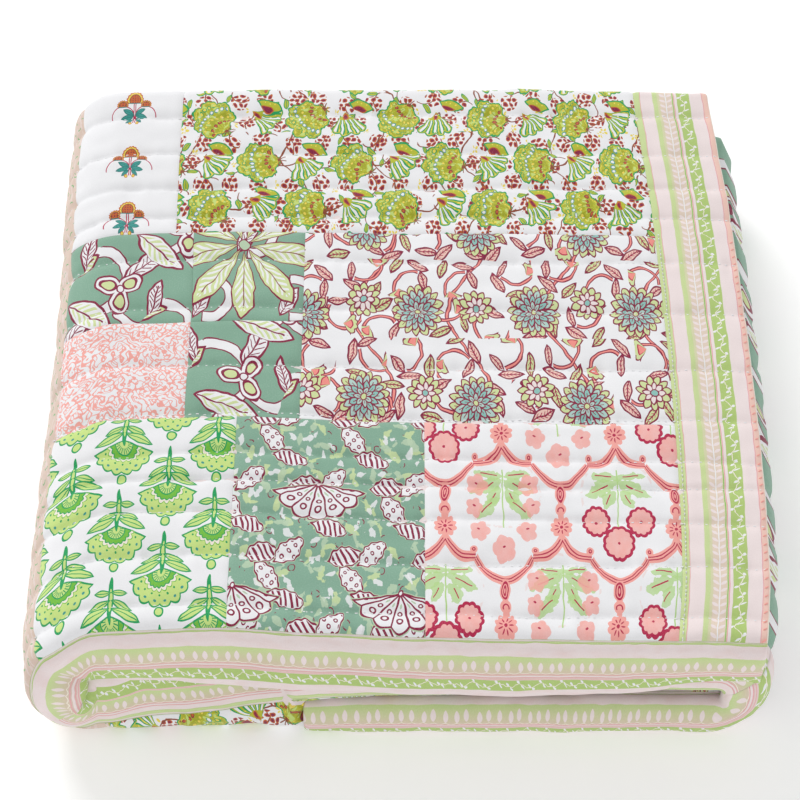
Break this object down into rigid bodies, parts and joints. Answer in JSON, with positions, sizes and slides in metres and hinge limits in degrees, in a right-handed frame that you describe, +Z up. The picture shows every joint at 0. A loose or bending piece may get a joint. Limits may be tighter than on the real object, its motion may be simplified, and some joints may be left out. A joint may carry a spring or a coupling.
{
  "type": "folded patchwork bedspread",
  "caption": "Quilted patchwork bedspread with a striped border, folded in thirds both ways into a neat flat pack.",
  "frame": {"origin": "middle of the footprint, on the surface that the bedspread rests on", "axes": "+X to the right seen from the front, +Y to the back, +Z up"},
  "size_m": [0.6228, 0.6116, 0.1226],
  "materials": {
    "quilted_cotton": "printed cotton patchwork, matte, quilted in rows"
  },
  "bodies": {
    "root": {"bedspread": "quilted_cotton"}
  },
  "joints": []
}
